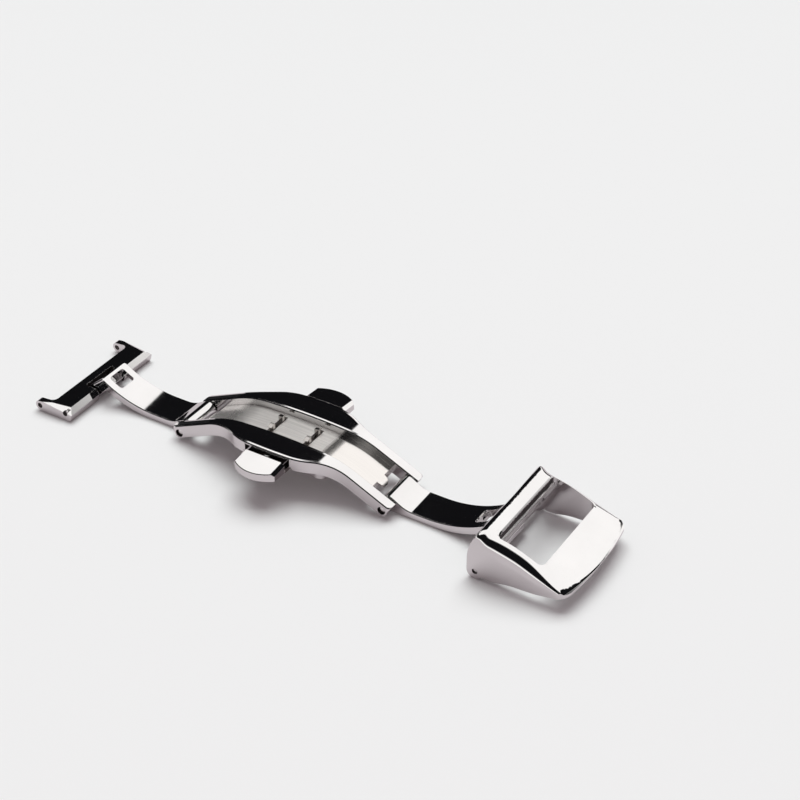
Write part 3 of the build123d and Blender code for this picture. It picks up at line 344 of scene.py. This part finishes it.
class Finish(Web):
    """Nodes of one finish, around a metal shader. Its patterns lie on Object coordinates."""

    def __init__(self, name, colour, roughness):
        self.material = bpy.data.materials.new(name)
        self.material.use_nodes = True
        super().__init__(self.material.node_tree)
        self.shader = self.tree.nodes["Principled BSDF"].inputs
        self.shader["Metallic"].default_value = 1.0
        self.shader["Base Color"].default_value = colour
        self.shader["Roughness"].default_value = roughness
        self.place = self.add("ShaderNodeTexCoord").outputs["Object"]

    def cloud(self, per_metre, detail, stretch=(1, 1, 1)):
        """Noise of one pattern: how many patches it has per metre, how much detail, and how the
        axes stretch it."""
        place = self.add("ShaderNodeMapping")
        self.feed(place.inputs["Vector"], self.place)
        place.inputs["Scale"].default_value = [per_metre * part for part in stretch]
        noise = self.add("ShaderNodeTexNoise")
        noise.inputs["Scale"].default_value = 1.0
        noise.inputs["Detail"].default_value = detail
        self.feed(noise.inputs["Vector"], place.outputs[0])
        return noise.outputs["Fac"]

    def tint(self, value, a, b):
        """Colours the metal from a to b as the value goes from 0 to 1."""
        self.feed(self.shader["Base Color"], self.mixed(value, a, b))

    def relief(self, height, depth, under=None):
        """Bump of a depth in metres, over another bump or over worn edges."""
        node = self.add("ShaderNodeBump")
        node.inputs["Distance"].default_value = depth
        self.feed(node.inputs["Height"], height)
        if under is not None:
            self.feed(node.inputs["Normal"], under)
        return node.outputs["Normal"]

    def worn_edges(self, radius):
        """Normals that round each edge off by a radius in metres."""
        node = self.add("ShaderNodeBevel", samples=4)
        node.inputs["Radius"].default_value = radius
        return node.outputs["Normal"]

    def apart(self, a, b):
        """Distance between two numbers."""
        return self.work_out("ABSOLUTE", self.work_out("SUBTRACT", a, b))

    def bevelled(self, inward, width, lean):
        """Height that falls evenly toward an edge, by the lean times how far a point is into the
        bevel's width. The distance from the edge runs inward."""
        into = self.work_out("MAXIMUM", self.work_out("SUBTRACT", width, inward), 0.0)
        return self.work_out("MULTIPLY", into, -lean)


def buffed(name, colour, haze, edge, form=None):
    """Mirror polish: a faint orange-peel wave from the buffing wheel and hairlines. An edge radius
    adds worn edges, and a form gives the height of what buffing has rounded off."""
    finish = Finish(name, colour, haze)
    stains, hair = finish.cloud(*stain_pattern), finish.cloud(*hair_pattern)
    finish.tint(finish.span(stains, 0.0, 1.0), colour, darkened(colour, stain_share))
    finish.feed(finish.shader["Roughness"], finish.span(hair, *(share * haze for share in haze_range)))
    worn = finish.worn_edges(edge) if edge else None
    normal = finish.relief(finish.cloud(*peel_pattern), peel_depth, worn)
    if form:
        normal = finish.relief(form(finish), 1.0, normal)
    depth = hair_depth if edge else fine_hair_depth
    finish.feed(finish.shader["Normal"], finish.relief(hair, depth, normal))
    return finish.material


def drilled_and_shaded(name, colour):
    """Dull wall as the drill or mill leaves it, with fine rings round each bore. Its nearly black
    colour is painted shade.
    """
    finish = Finish(name, colour, cut_roughness)
    finish.tint(finish.cloud(*smear_pattern), colour, darkened(colour, smear_share))
    finish.feed(finish.shader["Normal"], finish.relief(finish.cloud(*ring_pattern), ring_depth))
    return finish.material


def rail_lips(finish):
    """Rails bevelled along the top's inner and outer edge. The outer edge's distance from the
    channel's middle line is read from a curve: it drops from the widest point by the sum of the
    tangents of its slope, whose sine grows evenly along each arc."""
    reach, spread, steps, step_group = 0.020, 0.010, 400, 16
    along = np.linspace(0, reach, steps + 1)
    sine = np.interp(along, rail_turns, np.sin(np.radians(rail_slopes)))
    drop = np.cumsum(np.tan(np.arcsin(sine[1:] / 2 + sine[:-1] / 2)) * along[1])
    edge = rail_half_width + drop[-1] - np.concatenate([[0], drop])
    curve = finish.add("ShaderNodeFloatCurve")
    places = range(0, steps + 1, step_group)
    line = curve.mapping.curves[0]
    while len(line.points) < len(places):
        line.points.new(0.5, 0.5)
    for point, place in zip(line.points, places):
        point.location = along[place] / reach, edge[place] / spread
    curve.mapping.update()
    x, y, _ = finish.split(finish.place)
    finish.feed(curve.inputs["Value"], finish.work_out("DIVIDE", finish.apart(x, frame_middle), reach))
    outer = finish.work_out("MULTIPLY", curve.outputs[0], spread)
    across = finish.work_out("ABSOLUTE", y)
    outer_side = finish.bevelled(finish.work_out("SUBTRACT", outer, across), outer_lip, lip_lean)
    inner_side = finish.bevelled(finish.work_out("SUBTRACT", across, channel_half_width), inner_lip, lip_lean)
    return finish.work_out("ADD", outer_side, inner_side)


# Nearly black finish for bores, recesses, the notch and the buckle's inner wall: painted shade.
cut_finish_and_shade = drilled_and_shaded("drilled_and_shaded_bore_steel", cut_steel_painted_dark)
arch_polish = buffed("buffed_arch_steel", buffed_steel, buffed_haze, worn_edge, rail_lips)
lug_bores = [(frame_middle + side * frame_pin_reach, pin_height, head_seat) for side in (-1, 1)]
recess_middles = [np.array([frame_middle, side * recess_reach, recess_height]) for side in (-1, 1)]
recesses = [(middle - recess_half, middle + recess_half) for middle in recess_middles]
skin("centre_frame", "arched_frame", "frame", arch_polish, "polished_steel", lug_bores, recesses)

# Deck plate: thin stainless sheet, laid in the channel. Its flat middle is brushed lengthwise, and
# the ends, pressed down to the arch, are burnished by the press and keep only faint marks.
brushed_grey, deck_roughness = (0.86, 0.83, 0.80, 1.0), 0.40
streak_pattern, streak_share, groove_depth = (7600, 5.0, (0.014, 1.0, 0.018)), 0.76, 0.000003
patch_pattern, patch_range = (420, 3.0, (0.35, 1.0, 0.35)), (0.85, 1.2)
brushing_spread, satin_metal, last_marks = 0.6, 0.62, 0.2
burnished_roughness, left_burnish = 0.13, 0.55
burnished_from, burnishing_fades = (0.0075, 0.0056), (0.003, 0.0009)


def burnished_ends(finish):
    """How burnished a point is: it grows from 0 to the left end's share, or to 1 on the right,
    over a short way past the flat middle."""
    x = finish.work_out("SUBTRACT", finish.split(finish.place)[0], frame_middle)
    starts = (-burnished_from[0], burnished_from[1])
    ends = (starts[0] - burnishing_fades[0], starts[1] + burnishing_fades[1])
    left = finish.span(x, 0.0, left_burnish, starts[0], ends[0])
    right = finish.span(x, 0.0, 1.0, starts[1], ends[1])
    return finish.work_out("MAXIMUM", left, right)


def brushed(name, colour, roughness, burnished=False):
    """Satin brushing along X: highlights spread across it, with streaks and soft cloudy patches.
    Where it is burnished it is smoother and brighter."""
    finish = Finish(name, colour, roughness)
    finish.shader["Anisotropic"].default_value = brushing_spread
    finish.shader["Metallic"].default_value = satin_metal
    across = finish.add("ShaderNodeVectorTransform", vector_type="VECTOR", convert_from="OBJECT",
                        convert_to="WORLD")
    across.inputs[0].default_value = (0.0, 1.0, 0.0)
    finish.feed(finish.shader["Tangent"], across.outputs[0])
    streak = finish.cloud(*streak_pattern)
    rough = finish.span(finish.cloud(*patch_pattern), *(share * roughness for share in patch_range))
    mark = finish.span(streak, 0.0, 1.0)
    if burnished:
        smooth = burnished_ends(finish)
        keep = finish.work_out("SUBTRACT", 1.0, smooth)
        rough = finish.work_out("ADD", finish.work_out("MULTIPLY", rough, keep),
                                finish.work_out("MULTIPLY", smooth, burnished_roughness))
        mark = finish.work_out("MULTIPLY", mark, finish.span(keep, last_marks, 1.0, 0.0, 1.0))
        finish.feed(finish.shader["Metallic"], finish.span(smooth, satin_metal, 1.0, 0.0, 1.0))
    finish.tint(mark, colour, darkened(colour, streak_share))
    finish.feed(finish.shader["Roughness"], rough)
    finish.feed(finish.shader["Normal"], finish.relief(streak, groove_depth, finish.worn_edges(worn_edge)))
    return finish.material


deck_finish = brushed("brushed_deck_steel", brushed_grey, deck_roughness, burnished=True)
skin("deck_plate", "brushed_deck", "frame", deck_finish, "brushed_steel")

# Cover and rivets: the stamped plate that closes the button housing on the wrist side, brushed
# like the deck, and the four tumbled steel rivets that hold it to the frame.
cover_roughness = 0.34
tumbled_steel, tumbled_haze = (0.76, 0.75, 0.745, 1.0), 0.14

cover_finish = brushed("brushed_cover_steel", brushed_grey, cover_roughness)
skin("base_cover", "housing_cover", "frame", cover_finish, "brushed_steel")
pin_steel = buffed("tumbled_pin_steel", tumbled_steel, tumbled_haze, None)
skin("cover_rivets", "cover_rivet_set", "frame", pin_steel, "pin_steel")

# Push buttons: cast and buffed steel caps in the housing's two recesses. An upright pin ties each
# to a stamped slide under the deck, whose hooks reach up through the slots.
# The slides' steel is darker than the caps, and darkened a little further as painted shade on the hook
# bodies.
slide_colour_and_shade, stamped_haze = (0.55, 0.525, 0.505, 1.0), 0.16
domed_steel, domed_haze = (0.80, 0.79, 0.78, 1.0), 0.08
link_pin_reach, link_pin_dome_radius = 0.00705, 0.0009


def domed(finish, a, a_middle, b, b_middle, dome):
    """Height of a domed head: it falls by the square of the distance from the head's middle,
    measured along two axes, over twice the dome's radius."""
    steps = [finish.work_out("SUBTRACT", a, a_middle), finish.work_out("SUBTRACT", b, b_middle)]
    squares = [finish.work_out("MULTIPLY", step, step) for step in steps]
    return finish.work_out("MULTIPLY", finish.work_out("ADD", *squares), -0.5 / dome)


def link_pin_dome(finish):
    """Domed heads of the upright link pins."""
    x, y, _ = finish.split(finish.place)
    return domed(finish, x, frame_middle, finish.work_out("ABSOLUTE", y), link_pin_reach,
                 link_pin_dome_radius)


cap_polish = buffed("buffed_cap_steel", buffed_steel, buffed_haze, worn_edge)
slide_steel = buffed("stamped_slide_steel_and_shade", slide_colour_and_shade, stamped_haze, worn_edge)
link_pin_steel = buffed("domed_link_pin_steel", domed_steel, domed_haze, None, link_pin_dome)
for side in ("front", "rear"):
    body = side + "_push_button"
    skin(side + "_button", side + "_button_cap", body, cap_polish, "polished_steel")
    skin(side + "_hook_slide", side + "_latch_slide", body, slide_steel, "plate_steel")
    skin(side + "_link_pin", side + "_button_pin", body, link_pin_steel, "pin_steel")

# Return springs: fine drawn wire, wound into a short coil between the cover's wall and each slide.
# They push the slides and their buttons back out.
wire_colour, wire_haze = (0.56, 0.55, 0.54, 1.0), 0.2

wire_steel = buffed("drawn_spring_wire", wire_colour, wire_haze, None)
for side in ("front", "rear"):
    skin(side + "_return_spring", side + "_spring_coil", "frame", wire_steel, "spring_wire")

# Frame pins: turned steel cross pins that hinge the blades. They are pressed into the lugs, and
# their domed heads show in the bores on both sides.
frame_pin_dome_radius = 0.0008


def frame_pin_dome(finish):
    """Domed heads of the cross pins."""
    x, _, z = finish.split(finish.place)
    return domed(finish, finish.apart(x, frame_middle), frame_pin_reach, z, pin_height, frame_pin_dome_radius)


frame_pin_steel = buffed("domed_cross_pin_steel", domed_steel, domed_haze, None, frame_pin_dome)
for side in ("left", "right"):
    skin(side + "_frame_pin", side + "_hinge_pin", "frame", frame_pin_steel, "pin_steel")

# Folding blades: pressed from thick steel strip, with the latch window cut through near the outer
# end, and buffed on both faces. Each turns on a frame pin.
for side in ("left", "right"):
    skin(side + "_blade", side + "_folding_blade", side + "_fold", cap_polish, "polished_steel")

# Strap end bar: a milled and buffed steel cross bar with two bored ears and a notch for the blade,
# and the pin that hinges it there.
blade_pin_reach, ear_reach, ear_height, end_bore = 0.03611966, 0.04113809, 0.0008, 0.00045
notch_ends, notch_half_width, notch_heights = (-0.03760, -0.03480), 0.00317, (-0.0001, 0.00209)

end_bores = [(frame_middle - blade_pin_reach, pin_height, end_bore),
             (frame_middle - ear_reach, ear_height, end_bore)]
notch = [(frame_middle + end, side * notch_half_width, height)
         for end, side, height in zip(notch_ends, (-1, 1), notch_heights)]
# The bores and the notch take the nearly black cut finish, which is painted shade.
skin("strap_end_bar", "strap_cross_bar", "strap_end", cap_polish, "polished_steel", end_bores, [notch])
skin("strap_end_pin", "strap_bar_hinge_pin", "strap_end", pin_steel, "pin_steel")

# Buckle: cast in one piece and buffed, with a window for the strap. A spring bar in its side walls
# hinges it to the blade, and a telescopic bar lies under the cross bar, whose inner wall is left
# dull as it was cut and painted nearly black as painted shade.
buckle_reach, buckle_height, buckle_half_width = 0.01475, 0.0080, 0.0094
round_radius, round_lift, buckle_bore, buckle_grain = 0.0030, 0.00004, 0.00046, 0.0006
top_line_shares = ((-0.015, 0.915), (0.003, 0.966), (0.018, 0.988), (0.036, 0.995), (0.09, 0.99),
                   (0.155, 0.98), (0.25, 0.956), (0.43, 0.865), (0.61, 0.70), (0.757, 0.53),
                   (0.86, 0.432), (0.985, 0.362))
rounding_shares = ((-0.02, 0.3), (0.022, 0.42), (0.055, 0.62), (0.09, 0.82), (0.14, 0.94), (0.2, 1.0),
                   (0.44, 1.0), (0.52, 0.95), (0.6, 0.84), (0.68, 0.66), (0.757, 0.48), (0.84, 0.34),
                   (0.92, 0.28), (1.05, 0.26))
window_middle, window_half = (frame_middle + 0.04232, 0.0), (0.00340, 0.00795)
window_corner, window_bevel, window_lean = 0.0007, 0.00026, 0.70
inner_ends, inner_half_width, inner_heights = (0.0366, 0.03896), 0.0077, (0.0040, 0.0076)


def window_lip(finish):
    """Buckle bevelled round its window. The distance from a rectangle with round corners is the
    length of how far a point lies past the corners' middles, less the corners' radius."""
    past = []
    for value, middle, half in zip(finish.split(finish.place), window_middle, window_half):
        past.append(finish.work_out("SUBTRACT", finish.apart(value, middle), half - window_corner))
    inside = finish.work_out("MINIMUM", finish.work_out("MAXIMUM", *past), 0.0)
    squares = [finish.work_out("POWER", finish.work_out("MAXIMUM", step, 0.0), 2.0) for step in past]
    outside = finish.work_out("SQRT", finish.work_out("ADD", *squares))
    distance = finish.work_out("SUBTRACT", finish.work_out("ADD", inside, outside), window_corner)
    return finish.bevelled(distance, window_bevel, window_lean)


def smooth_line(points, x):
    """Height and slope at x, kept between the ends, on the cubic line through the points. Its bend
    is nothing at the ends and goes evenly from each point's to the next's."""
    px, pz = np.array(points).T
    x = np.clip(x, px[0], px[-1])
    gap = np.diff(px)
    rise = np.diff(pz) / gap
    count = len(px)
    rows, target = np.eye(count), np.zeros(count)
    inner = np.arange(1, count - 1)
    rows[inner, inner - 1], rows[inner, inner + 1] = gap[:-1], gap[1:]
    rows[inner, inner] = 2 * (gap[:-1] + gap[1:])
    target[inner] = 6 * np.diff(rise)
    bend = np.linalg.solve(rows, target)
    k = np.clip(np.searchsorted(px, x) - 1, 0, count - 2)
    a, b, width, before, after = x - px[k], px[k + 1] - x, gap[k], bend[k], bend[k + 1]
    height = ((before * b**3 + after * a**3) / 6 + (pz[k] - before * width**2 / 6) * b
              + (pz[k + 1] - after * width**2 / 6) * a) / width
    slope = (after * a**2 - before * b**2) / (2 * width) + rise[k] - width * (after - before) / 6
    return height, slope


def buckle_contour(mesh, normals):
    """Normals of the buckle's true top and of its rounded sides. The top's come from the slope of
    its line. A side's point lies on a circle across the buckle, whose radius and height change
    along it: the normal is the gradient of the distance from the circle's middle less the radius.
    Each face takes the surface that it faces like, and faces of neither keep their own."""
    likeness, closeness = 0.94, 0.00006
    corners, facing = read(mesh.loops, "vertex_index", 1, np.int64).ravel(), read(mesh.polygons, "normal")
    x, y, z = read(mesh.vertices, "co")[corners].T
    share = (x - frame_middle - blade_pin_reach) / buckle_reach
    top, slope = smooth_line(top_line_shares, share)
    top, slope = top * buckle_height, slope * buckle_height / buckle_reach
    radius, growth = smooth_line(rounding_shares, share)
    radius, growth = radius * round_radius, growth * round_radius / buckle_reach
    level = np.stack([-slope, np.zeros_like(x), np.ones_like(x)], axis=1)
    aside = np.maximum(abs(y) - buckle_half_width + radius, 0.0)
    above = np.maximum(z - top - round_lift + radius, 0.0)
    rounded = np.stack([aside * growth + above * (growth - slope) - radius * growth,
                        aside * np.sign(y), above], axis=1)
    off_top, off_side = abs(z - top), abs(np.hypot(aside, above) - radius)
    chosen, best = normals.copy(), np.full(len(facing), likeness)
    for surface, off in ((unit(level), off_top), (unit(rounded), off_side)):
        like = (surface.reshape(-1, 3, 3).mean(axis=1) * facing).sum(axis=1)
        takes = (like > best) & (off.reshape(-1, 3).max(axis=1) < closeness)
        best[takes] = like[takes]
        chosen[np.repeat(takes, 3)] = surface[np.repeat(takes, 3)]
    return chosen


buckle_polish = buffed("buffed_buckle_steel", buffed_steel, buffed_haze, None, window_lip)
# The inner wall takes the nearly black cut finish, which is painted shade.
inner_wall = [(frame_middle + end, side * inner_half_width, height)
              for end, side, height in zip(inner_ends, (-1, 1), inner_heights)]
skin("buckle_frame", "windowed_buckle", "buckle", buckle_polish, "polished_steel",
     [(frame_middle + blade_pin_reach, pin_height, buckle_bore)], [inner_wall], buckle_grain, buckle_contour)
skin("hinge_bar_tube", "hinge_bar_sleeve", "buckle", pin_steel, "pin_steel")
skin("hinge_bar_spring", "hinge_bar_coil", "buckle", wire_steel, "spring_wire")
skin("hinge_bar_front_tip", "hinge_bar_front_pivot", "hinge_bar_front", pin_steel, "pin_steel")
skin("hinge_bar_rear_tip", "hinge_bar_rear_pivot", "hinge_bar_rear", pin_steel, "pin_steel")
skin("strap_bar_tube", "strap_bar_sleeve", "buckle", pin_steel, "pin_steel")
skin("strap_bar_spring", "strap_bar_coil", "buckle", wire_steel, "spring_wire")
skin("strap_bar_rod", "strap_bar_plunger", "strap_bar_far", pin_steel, "pin_steel")

bpy.context.scene.view_settings.view_transform = "Standard"
